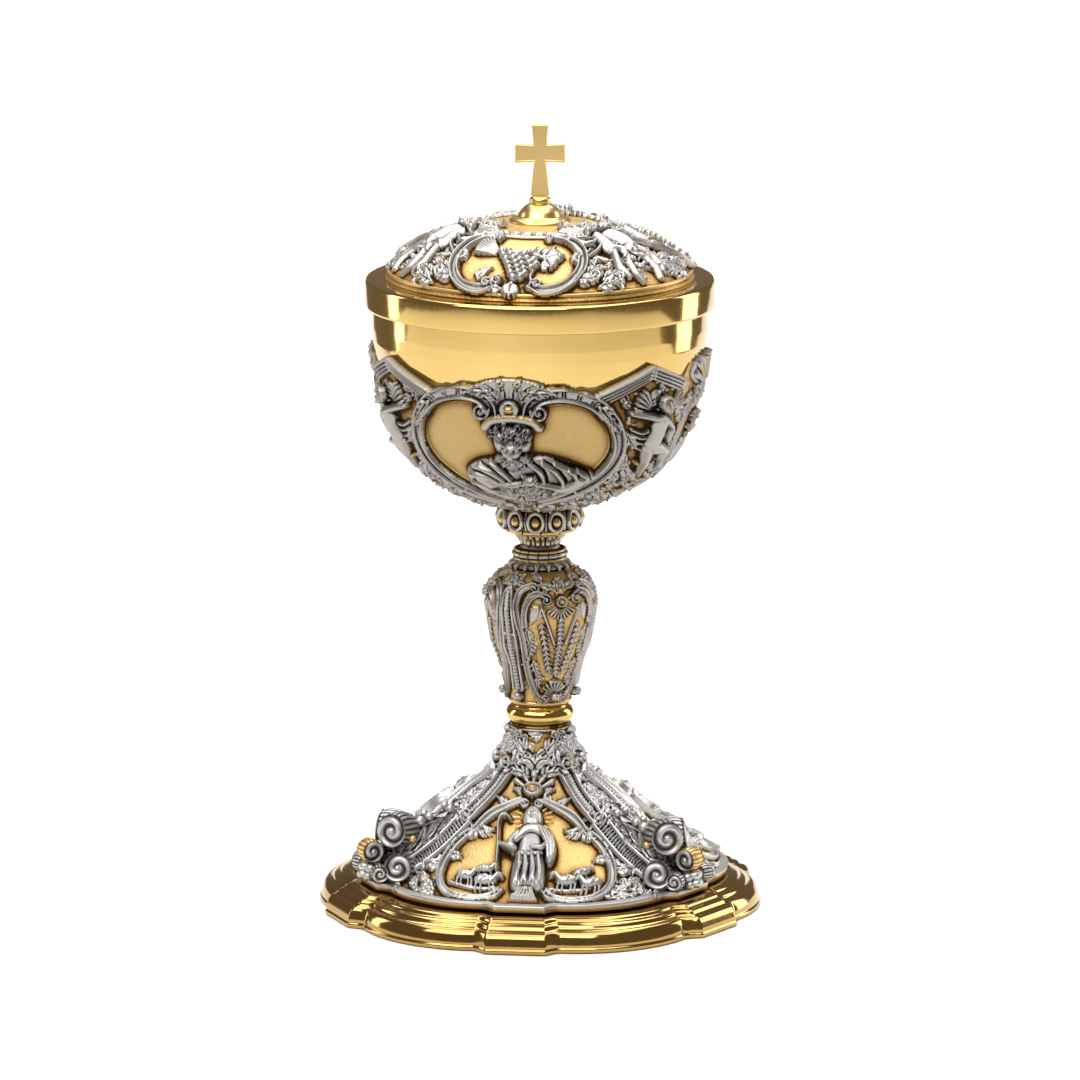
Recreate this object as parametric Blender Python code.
"""A covered altar vessel: gilt cup in a cast silver calyx, baluster knop, spreading foot on a gilt plinth,
and a domed lid with a cross that lifts off. Metres, +Z up, origin at the middle of the plinth's underside.
Angles are read from the front, which faces -Y, and grow towards +X."""

import math

import bmesh
import bpy
from mathutils import Vector

MM = 0.001
GAP = 0.3  # clearance left between neighbouring pieces
EDGE = 0.6  # thickness of a relief at its rim
SEAT = 1.0  # height of a moulding's back over a turned face, which its straight runs cut across

PLINTH_RADIUS = 80.0  # to the middle of a flat, at the lower edge
PLINTH_FLATS = 6
FLAT_HALF_ANGLE = 7.66  # degrees from the middle of a flat to its corner
NOTCH_ANGLE = 12.0  # degrees from the middle of a flat to the bottom of the notch beside it
NOTCH_SHARE = 0.975  # radius at the notch and at the top of the lobe, against the flat's
LOBE_SHARE = 1.006
FOOT_EDGE_RADIUS = 68.0
FOOT_WALL = 1.8
LOBING_STARTS = 38.0  # the foot is round inside this radius and fully lobed at its edge
ROD_RADIUS = 2.5
BORE_RADIUS = 2.8
CUP_RADIUS = 60.2
CUP_RIM_HEIGHT = 226.0
CUP_WALL = 1.6
CALYX_WALL = 1.5
LID_BAND_RADIUS = 62.6
LID_WALL = 1.6
NARROW_SHARE = 0.5  # width of a side cartouche against a front or back one
STUD_COUNT = 12
BOWL_SIDES = 32  # facets round the cup, its calyx and the lid, which share them so that their gaps stay even
PANEL_TURNS = (0.0, 120.0, 240.0)
BUTTRESS_TURNS = (60.0, 180.0, 300.0)
KNOP_PANEL_TURNS = (30.0, 150.0, 270.0)
KNOP_BRACKET_TURNS = (90.0, 210.0, 330.0)
CALYX_TURN = -4.0  # the calyx was fitted a little turned against the foot
CALYX_WIDE_TURNS = (CALYX_TURN, CALYX_TURN + 180.0)
CALYX_NARROW_TURNS = (CALYX_TURN + 90.0, CALYX_TURN + 270.0)
CALYX_PUTTO_TURNS = [CALYX_TURN + side for side in (54.0, 126.0, 234.0, 306.0)]
LID_TURN = -5.0
CROSS_TURN = 8.0

# Outer faces of the turned shells, from the top down, as (radius, height).
FOOT_FACE = [(10.6, 64.9), (12.7, 57.5), (15.2, 54.3), (15.8, 48.6), (25.0, 41.1), (31.0, 36.6), (37.0, 31.0),
             (46.0, 24.0), (56.0, 17.5), (64.0, 14.2), (68.0, 13.2)]
KNOP_FACE = [(10.8, 123.4), (13.4, 122.2), (16.2, 119.4), (18.4, 115.5), (19.0, 110.9), (17.8, 103.5),
             (16.6, 97.0), (14.0, 90.4), (12.0, 81.3), (11.2, 76.0), (10.6, 73.7)]
CUP_FACE = [(CUP_RADIUS, CUP_RIM_HEIGHT), (CUP_RADIUS, 208.0), (58.6, 202.5), (55.9, 191.0), (51.4, 178.0),
            (48.0, 171.0), (44.2, 165.2), (39.5, 160.4), (33.0, 156.6), (25.0, 153.6), (14.0, 152.2),
            (6.2, 152.0)]
CALYX_FACE = [(60.5, 202.4), (57.9, 190.8), (53.4, 177.6), (49.7, 170.0), (45.6, 163.8), (40.6, 158.7),
              (34.2, 154.6), (27.0, 151.2), (18.0, 148.4), (12.0, 146.5)]
DOME_FACE = [(8.0, 249.4), (20.0, 248.2), (32.0, 245.0), (42.0, 240.6), (49.5, 235.9), (53.8, 232.0),
             (55.4, 229.6)]


def material(name, colour, roughness):
    made = bpy.data.materials.new(name)
    made.use_nodes = True
    shader = made.node_tree.nodes["Principled BSDF"]
    shader.inputs["Base Color"].default_value = (*colour, 1.0)
    shader.inputs["Metallic"].default_value = 1.0
    shader.inputs["Roughness"].default_value = roughness
    return made


def solid(name, points, faces, finish, smooth=True):
    """One closed body from points in millimetres, with its faces turned outwards."""
    mesh = bpy.data.meshes.new(name)
    shape = bmesh.new()
    corners = [shape.verts.new(Vector(p) * MM) for p in points]
    for face in faces:
        shape.faces.new([corners[i] for i in face])
    bmesh.ops.recalc_face_normals(shape, faces=shape.faces)
    shape.to_mesh(mesh)
    shape.free()
    for polygon in mesh.polygons:
        polygon.use_smooth = smooth
    mesh.materials.append(finish)
    made = bpy.data.objects.new(name, mesh)
    bpy.context.collection.objects.link(made)
    return made


def at(radius, angle, height):
    turn = math.radians(angle)
    return (radius * math.sin(turn), -radius * math.cos(turn), height)


def even_angles(count):
    return [360.0 * i / count for i in range(count)]


def lathe(name, outline, finish, angles, stretch=None):
    """Turns an outline round the axis. It is closed on itself, unless both its ends lie on the axis."""
    points, rings = [], []
    for radius, height in outline:
        first = len(points)
        if radius == 0.0:
            points.append((0.0, 0.0, height))
            rings.append([first] * len(angles))
        else:
            points += [at(stretch(radius, height, a) if stretch else radius, a, height) for a in angles]
            rings.append(list(range(first, len(points))))
    pairs = list(zip(rings, rings[1:]))
    if outline[0][0] > 0.0:
        pairs.append((rings[-1], rings[0]))
    faces = []
    for upper, lower in pairs:
        for i in range(len(angles)):
            j = (i + 1) % len(angles)
            ring = [upper[i], lower[i], lower[j], upper[j]]
            face = [v for k, v in enumerate(ring) if v != ring[k - 1]]
            if len(face) > 2:
                faces.append(face)
    return solid(name, points, faces, finish)


def normals_of(face):
    """The outward normal at each point of a face listed from the top down."""
    found = []
    for i in range(len(face)):
        a, b = Vector(face[max(i - 1, 0)]), Vector(face[min(i + 1, len(face) - 1)])
        run = (b - a).normalized()
        found.append(Vector((-run.y, run.x)))
    return found


def inner_face(face, wall):
    """The face moved in by the wall thickness, listed from the bottom up."""
    moved = [(p[0] - n.x * wall, p[1] - n.y * wall) for p, n in zip(face, normals_of(face))]
    return moved[::-1]


def along(face, distance):
    """(radius, height, normal) at a distance down the face from its top."""
    normals = normals_of(face)
    for i in range(len(face) - 1):
        a, b = Vector(face[i]), Vector(face[i + 1])
        length = (b - a).length
        if distance <= length or i == len(face) - 2:
            share = distance / length
            spot = a.lerp(b, share)
            return spot.x, spot.y, normals[i].lerp(normals[i + 1], share).normalized()
        distance -= length


def wrap(face, turn, start, stretch=None):
    """A function that lays (x sideways, y upwards, lift off the face) on a turned face, in millimetres."""

    def place(x, y, lift):
        radius, height, normal = along(face, start - y)
        angle = turn + math.degrees(x / radius)
        if stretch:
            radius = stretch(radius, height, angle)
        return at(radius + normal.x * lift, angle, height + normal.y * lift)

    return place


def mirrored(half):
    """A loop from its right half, which runs from the top centre to the bottom centre."""
    return half + [(-x, y) for x, y in half[-2:0:-1]]


def moulding(name, place, loop, half_width, height, finish):
    """A raised moulding that follows a closed loop of (x, y) on a wrapped face."""
    curve = [Vector(spot) for spot in loop]
    section = [(-1.0, SEAT), (-0.6, height), (0.6, height), (1.0, SEAT)]
    points, faces, size = [], [], len(section)
    for i, spot in enumerate(curve):
        run = (curve[(i + 1) % len(curve)] - curve[i - 1]).normalized()
        side = Vector((-run.y, run.x))
        points += [place(*(spot + side * half_width * across), lift) for across, lift in section]
        near, far = i * size, ((i + 1) % len(curve)) * size
        for k in range(size):
            faces.append([near + k, near + (k + 1) % size, far + (k + 1) % size, far + k])
    return solid(name, points, faces, finish)


def relief(name, place, rows, lift_of, columns, finish):
    """A raised plate with a wrapped back. Each row is (y, left, right)."""
    top, back = [], []
    for y, left, right in rows:
        for c in range(columns + 1):
            x = left + (right - left) * c / columns
            edge = c in (0, columns) or y in (rows[0][0], rows[-1][0])
            top.append(place(x, y, 2 * GAP + (EDGE if edge else lift_of(x, y))))
            back.append(place(x, y, 2 * GAP))
    wide, deep, under = columns + 1, len(rows), len(top)
    faces = []
    for r in range(deep - 1):
        for c in range(columns):
            a = r * wide + c
            faces.append([a, a + 1, a + wide + 1, a + wide])
            faces.append([under + a, under + a + wide, under + a + wide + 1, under + a + 1])
    rim = list(range(wide)) + [r * wide + columns for r in range(1, deep)]
    rim += [(deep - 1) * wide + c for c in range(columns - 1, -1, -1)]
    rim += [r * wide for r in range(deep - 2, 0, -1)]
    for k, a in enumerate(rim):
        b = rim[(k + 1) % len(rim)]
        faces.append([a, b, under + b, under + a])
    return solid(name, top + back, faces, finish)


def fin(name, outline, half_width, turn, finish):
    """A slab of the outline (radius, height), standing out from the axis at this angle."""
    out, across = Vector(at(1.0, turn, 0.0)), Vector(at(1.0, turn + 90.0, 0.0))
    sides = [[out * r + across * w + Vector((0, 0, z)) for r, z in outline]
             for w in (-half_width, half_width)]
    count = len(outline)
    faces = [list(range(count)), list(range(2 * count - 1, count - 1, -1))]
    faces += [[i, count + i, count + (i + 1) % count, (i + 1) % count] for i in range(count)]
    return solid(name, sides[0] + sides[1], faces, finish, smooth=False)


def drum(name, radius, spot, half_width, turn, finish, sides=14):
    """A short roll whose axis runs sideways, round the point (radius, height) on the slab's middle."""
    steps = [math.tau * i / sides for i in range(sides)]
    ring = [(spot[0] + radius * math.cos(t), spot[1] + radius * math.sin(t)) for t in steps]
    return fin(name, ring, half_width, turn, finish)


def join(body, others):
    """Joins helpers to a body as one closed solid, and hides the helpers."""
    for other in others:
        union = body.modifiers.new("join_" + other.name, "BOOLEAN")
        union.operation, union.solver, union.object = "UNION", "EXACT", other
        other.hide_render = True
        other.display_type = "WIRE"


def bump(x, y, centre_x, centre_y, wide, high):
    """A smooth hill of height one."""
    return math.exp(-((x - centre_x) / wide) ** 2 - ((y - centre_y) / high) ** 2)


def outline_share(angle):
    """The plinth's lobed outline as a share of its radius: a flat, a notch, a rounded lobe and a notch."""
    sector = 360.0 / PLINTH_FLATS
    off = abs((angle + sector / 2) % sector - sector / 2)
    corner = 1.0 / math.cos(math.radians(FLAT_HALF_ANGLE))
    if off <= FLAT_HALF_ANGLE:
        return 1.0 / math.cos(math.radians(off))
    if off <= NOTCH_ANGLE:
        t = (off - FLAT_HALF_ANGLE) / (NOTCH_ANGLE - FLAT_HALF_ANGLE)
        return corner + (NOTCH_SHARE - corner) * (1 - (1 - t) ** 2)
    t = (off - NOTCH_ANGLE) / (sector / 2 - NOTCH_ANGLE)
    return NOTCH_SHARE + (LOBE_SHARE - NOTCH_SHARE) * math.sin(t * math.pi / 2)


def plinth_reach(radius, height, angle):
    return radius * outline_share(angle)


def foot_reach(radius, height, angle):
    share = min(max((radius - LOBING_STARTS) / (FOOT_EDGE_RADIUS - LOBING_STARTS), 0.0), 1.0)
    return radius * (1.0 + share * (outline_share(angle) - 1.0))


def hexagon(radius, height, angle):
    """A nut's outside: the largest radius of an outline is a hexagon's corner, and its bore stays round."""
    if radius < 3.0:
        return radius
    off = math.radians((angle + 30.0) % 60.0 - 30.0)
    return radius * math.cos(math.pi / 6) / math.cos(abs(off) - math.pi / 6)


def lobed_angles():
    sector = 360.0 / PLINTH_FLATS
    steps = (-30.0, -20.0, -NOTCH_ANGLE, -FLAT_HALF_ANGLE, FLAT_HALF_ANGLE, NOTCH_ANGLE, 20.0)
    return [sector * i + s for i in range(PLINTH_FLATS) for s in steps]


def build_foot(silver, gold):
    plinth = [(72.0, 0.0), (PLINTH_RADIUS, 0.0), (PLINTH_RADIUS, 1.7), (78.9, 2.2), (78.6, 6.2), (77.8, 6.9),
              (75.4, 7.5), (74.4, 9.2), (72.0, 9.9), (71.0, 11.2), (61.5, 11.3), (61.5, 8.0), (71.0, 6.0)]
    lathe("base_plinth", plinth, gold, lobed_angles(), plinth_reach)
    under = inner_face(FOOT_FACE, FOOT_WALL)
    rim = [(FOOT_EDGE_RADIUS, 11.6), (62.6, 11.6)]
    collar = [(10.4, 60.9), (BORE_RADIUS, 60.9), (BORE_RADIUS, 64.9)]
    lathe("foot_shell", FOOT_FACE + rim + under[1:-2] + collar, silver, lobed_angles(), foot_reach)
    arch = mirrored([(0.0, 26.0), (3.5, 21.0), (9.5, 16.5), (15.5, 11.0), (17.5, 4.0), (19.5, -3.0),
                     (25.5, -9.0), (28.5, -15.5), (25.0, -21.0), (13.0, -22.5), (0.0, -24.0)])

    def shepherd(x, y):
        figure = 3.6 * bump(x, y, 0.0, -3.0, 4.0, 13.0) + 1.2 * bump(x, y, 0.0, 9.0, 3.0, 3.0)
        sheep = 2.6 * bump(x, y, -12.0, -13.5, 5.0, 4.0) + 2.6 * bump(x, y, 12.0, -14.5, 5.0, 4.0)
        return 0.6 + max(figure, sheep)

    panel_rows = [(12.0, -2.5, 2.5), (9.0, -4.5, 4.5), (4.0, -6.0, 6.0), (-2.0, -7.5, 7.5),
                  (-8.0, -14.0, 14.0), (-13.5, -18.5, 18.5), (-17.0, -17.0, 17.0), (-19.0, -12.0, 12.0)]
    for i, turn in enumerate(PANEL_TURNS, 1):
        place = wrap(FOOT_FACE, turn, 54.0, foot_reach)
        moulding(f"foot_frame_{i}", place, arch, 1.4, 2.6, silver)
        relief(f"foot_shepherd_{i}", place, panel_rows, shepherd, 6, silver)
    lower = [along(FOOT_FACE, s) for s in (76.0, 70.0, 62.0, 54.0, 44.0, 34.0, 26.0, 20.0)]
    rest = [(r + n.x * 2 * GAP, z + n.y * 2 * GAP) for r, z, n in lower]
    bracket = [(17.2, 51.2), (20.5, 47.6), (28.0, 44.0), (38.0, 40.2), (50.0, 37.4), (58.0, 36.2),
               (63.6, 33.8), (65.4, 30.0), (64.2, 26.0), (66.0, 22.0), (66.6, 17.6)]
    for i, turn in enumerate(BUTTRESS_TURNS, 1):
        console = fin(f"foot_console_{i}", bracket + rest, 4.6, turn, silver)
        join(console, [drum(f"upper_roll_{i}", 4.6, (60.6, 30.6), 7.6, turn, silver),
                       drum(f"lower_roll_{i}", 4.2, (61.6, 20.4), 14.6, turn, silver)])


def build_stem(silver, gold):
    round_angles = even_angles(18)
    lathe("tie_rod", [(0.0, 51.0), (ROD_RADIUS, 51.0), (ROD_RADIUS, 150.2), (0.0, 150.2)], gold,
          even_angles(12))
    lathe("foot_washer", [(BORE_RADIUS, 58.8), (7.2, 58.8), (7.2, 60.6), (BORE_RADIUS, 60.6)], gold,
          even_angles(20))
    lathe("foot_nut", [(BORE_RADIUS, 54.2), (5.4, 54.2), (5.4, 58.5), (BORE_RADIUS, 58.5)], gold,
          even_angles(24), hexagon)
    lathe("foot_ring", [(BORE_RADIUS, 65.2), (10.2, 65.2), (10.4, 66.6), (11.6, 67.7), (12.2, 69.7),
                        (11.6, 71.7), (10.4, 72.8), (10.2, 73.4), (BORE_RADIUS, 73.4)], gold, round_angles)
    lathe("knop_body", KNOP_FACE + [(BORE_RADIUS, 73.7), (BORE_RADIUS, 123.4)], silver, round_angles)
    cartouche = mirrored([(0.0, 15.0), (4.5, 15.5), (8.5, 11.5), (8.8, 4.0), (6.0, -3.0), (5.4, -10.0),
                          (3.6, -18.0), (0.0, -22.0)])
    for i, turn in enumerate(KNOP_PANEL_TURNS, 1):
        moulding(f"knop_cartouche_{i}", wrap(KNOP_FACE, turn, 24.0), cartouche, 0.9, 1.3, silver)
    down = [along(KNOP_FACE, s) for s in (49.0, 44.0, 36.0, 27.0, 19.0, 12.0)]
    rest = [(r + n.x * 2 * GAP, z + n.y * 2 * GAP) for r, z, n in down]
    leaf = [(17.6, 119.0), (20.2, 114.5), (20.8, 110.5), (19.4, 103.8), (18.9, 98.6), (19.2, 96.0),
            (16.2, 93.6), (14.9, 88.0), (13.8, 82.0), (15.0, 79.2), (15.0, 76.8), (13.4, 75.0)]
    for i, turn in enumerate(KNOP_BRACKET_TURNS, 1):
        fin(f"knop_bracket_{i}", leaf + rest, 2.0, turn, silver)
    lathe("knop_collar", [(BORE_RADIUS, 123.7), (10.6, 123.7), (10.8, 125.0), (8.6, 126.2), (9.2, 126.9),
                          (9.4, 128.6), (9.2, 130.3), (BORE_RADIUS, 130.3)], gold, round_angles)
    lathe("neck_spool", [(BORE_RADIUS, 130.6), (7.2, 130.6), (6.2, 131.8), (6.2, 134.0), (7.6, 135.6),
                         (10.4, 136.6), (BORE_RADIUS, 136.6)], silver, round_angles)

    def studded(radius, height, angle):
        spacing = 360.0 / STUD_COUNT
        off = ((angle + spacing / 2) % spacing - spacing / 2) / (spacing / 2)
        hill = max(0.0, 1.0 - off ** 2 / 0.45 - ((height - 142.0) / 3.0) ** 2)
        return radius + 1.9 * math.sqrt(hill)

    lathe("stud_ring", [(BORE_RADIUS, 136.9), (11.7, 136.9), (13.4, 138.6), (14.0, 140.4), (14.1, 142.0),
                        (14.0, 143.6), (13.7, 145.2), (12.6, 146.2), (BORE_RADIUS, 146.2)], silver,
          even_angles(STUD_COUNT * 4), studded)


def build_cup(silver, gold):
    inside = inner_face(CUP_FACE, CUP_WALL)
    boss = [(6.2, 146.9), (BORE_RADIUS, 146.9), (BORE_RADIUS, 150.6), (0.0, 150.6)]
    bowl = [(0.0, 153.6)] + inside[1:] + CUP_FACE + boss
    lathe("cup_bowl", bowl, gold, even_angles(BOWL_SIDES))
    wall = inner_face(CALYX_FACE, CALYX_WALL)
    lathe("calyx_shell", CALYX_FACE + [(6.6, 146.5), (6.6, 148.3)] + wall[1:], silver,
          even_angles(BOWL_SIDES))
    ovals = mirrored([(0.0, 16.5), (7.0, 20.0), (17.0, 19.0), (27.0, 15.5), (33.5, 9.0), (35.0, 0.0),
                      (31.0, -8.0), (22.0, -12.5), (14.0, -17.0), (7.0, -21.0), (0.0, -23.0)])
    narrow = [(x * NARROW_SHARE, y) for x, y in ovals]

    def bust(x, y):
        head = 4.0 * bump(x, y, 0.0, 0.5, 6.0, 7.0)
        cloak = 3.2 * bump(x, y, 0.0, -12.0, 15.0, 6.5)
        return 0.7 + max(head, cloak)

    bust_rows = [(9.5, -4.5, 4.5), (6.5, -8.0, 8.0), (1.5, -9.0, 9.0), (-3.0, -11.5, 11.5),
                 (-6.5, -17.5, 17.5), (-10.0, -17.5, 17.5), (-13.0, -12.5, 12.5), (-16.0, -8.5, 8.5)]
    small_rows = [(y, left * NARROW_SHARE, right * NARROW_SHARE) for y, left, right in bust_rows]

    def putto(x, y):
        return 0.7 + 3.4 * max(bump(x, y, 0.5, 8.5, 3.0, 3.6), bump(x, y, 0.0, -2.0, 3.2, 9.0))

    putto_rows = [(13.0, -2.5, 2.5), (9.0, -4.0, 4.0), (4.0, -5.0, 5.0), (-2.0, -4.4, 4.4), (-8.0, -3.4, 3.4),
                  (-14.0, -2.4, 2.4)]
    gable_face = [(61.0, 207.6), (61.0, 203.2), (61.0, 199.0)]
    gable_rows = [(2.4, -3.0, 3.0), (0.2, -7.0, 7.0), (-2.0, -11.0, 11.0), (-3.8, -11.0, 11.0)]
    crest_rows = [(2.4, -6.0, 6.0), (0.4, -9.0, 9.0), (-2.0, -11.0, 11.0), (-3.8, -9.0, 9.0)]
    for i, (turn, loop, rows) in enumerate(
            [(turn, ovals, bust_rows) for turn in CALYX_WIDE_TURNS]
            + [(turn, narrow, small_rows) for turn in CALYX_NARROW_TURNS], 1):
        place = wrap(CALYX_FACE, turn, 23.0)
        moulding(f"calyx_frame_{i}", place, loop, 1.9, 3.4, silver)
        relief(f"calyx_bust_{i}", place, rows, bust, 6, silver)
        relief(f"calyx_crest_{i}", wrap(gable_face, turn, 1.4), crest_rows, lambda x, y: 1.3, 4, silver)
    for i, turn in enumerate(CALYX_PUTTO_TURNS, 1):
        relief(f"calyx_putto_{i}", wrap(CALYX_FACE, turn, 17.0), putto_rows, putto, 6, silver)
        relief(f"calyx_gable_{i}", wrap(gable_face, turn, 1.4), gable_rows, lambda x, y: 1.3, 4, silver)


def build_lid(silver, gold):
    band = [(60.9, 218.9), (62.2, 218.9), (LID_BAND_RADIUS, 219.6), (LID_BAND_RADIUS, 227.9), (62.0, 228.9),
            (54.2, 229.3), (54.2, 226.4), (56.0, 225.0), (56.0, 220.6), (57.6, 220.6), (57.6, 226.3),
            (60.9, 226.3)]
    lathe("lid_band", band, gold, even_angles(BOWL_SIDES))
    under = inner_face(DOME_FACE, LID_WALL)
    lathe("lid_dome", [(2.2, 249.4)] + DOME_FACE + [(53.6, 229.6)] + under[1:] + [(2.2, 247.8)], silver,
          even_angles(BOWL_SIDES))
    frame = mirrored([(0.0, 14.5), (7.0, 15.0), (12.5, 10.0), (16.5, 2.0), (19.5, -6.0), (15.0, -12.5),
                      (7.0, -13.0), (0.0, -15.5)])

    def angels(x, y):
        both = bump(x, y, -7.5, 0.0, 4.5, 7.0) + bump(x, y, 7.5, 0.0, 4.5, 7.0)
        return 0.7 + 2.4 * min(both, 1.0)

    angel_rows = [(12.0, -5.0, 5.0), (7.0, -9.0, 9.0), (2.0, -12.5, 12.5), (-3.0, -14.0, 14.0),
                  (-8.0, -13.0, 13.0), (-12.0, -8.0, 8.0)]
    for i, turn in enumerate(PANEL_TURNS, 1):
        moulding(f"lid_cartouche_{i}", wrap(DOME_FACE, turn + LID_TURN, 36.0), frame, 1.5, 2.4, silver)
    for i, turn in enumerate(BUTTRESS_TURNS, 1):
        relief(f"lid_angels_{i}", wrap(DOME_FACE, turn + LID_TURN, 34.0), angel_rows, angels, 6, silver)
    lathe("lid_boss", [(1.9, 249.7), (10.6, 249.8), (10.6, 250.4), (8.2, 251.0), (7.3, 253.0), (5.6, 254.9),
                       (3.4, 256.0), (1.9, 256.0)], gold, even_angles(18))
    half = [(0.0, 256.3), (2.6, 256.3), (2.6, 258.6), (3.4, 259.2), (2.15, 270.6), (9.0, 270.8),
            (9.0, 276.9), (2.35, 276.6), (3.1, 284.0), (0.0, 284.0)]
    cross = fin("cross_finial", mirrored(half), 1.0, 90.0 + CROSS_TURN, gold)
    join(cross, [lathe("cross_stud", [(0.0, 243.0), (1.5, 243.0), (1.5, 258.0), (0.0, 258.0)], gold,
                       even_angles(12))])
    lathe("lid_nut", [(1.9, 244.2), (4.0, 244.2), (4.0, 247.4), (1.9, 247.4)], gold, even_angles(24), hexagon)


def main():
    for item in list(bpy.data.objects):
        bpy.data.objects.remove(item)
    silver = material("antiqued_silver", (0.62, 0.61, 0.59), 0.34)
    gold = material("polished_gilt", (0.86, 0.68, 0.36), 0.12)
    build_foot(silver, gold)
    build_stem(silver, gold)
    build_cup(silver, gold)
    build_lid(silver, gold)


main()
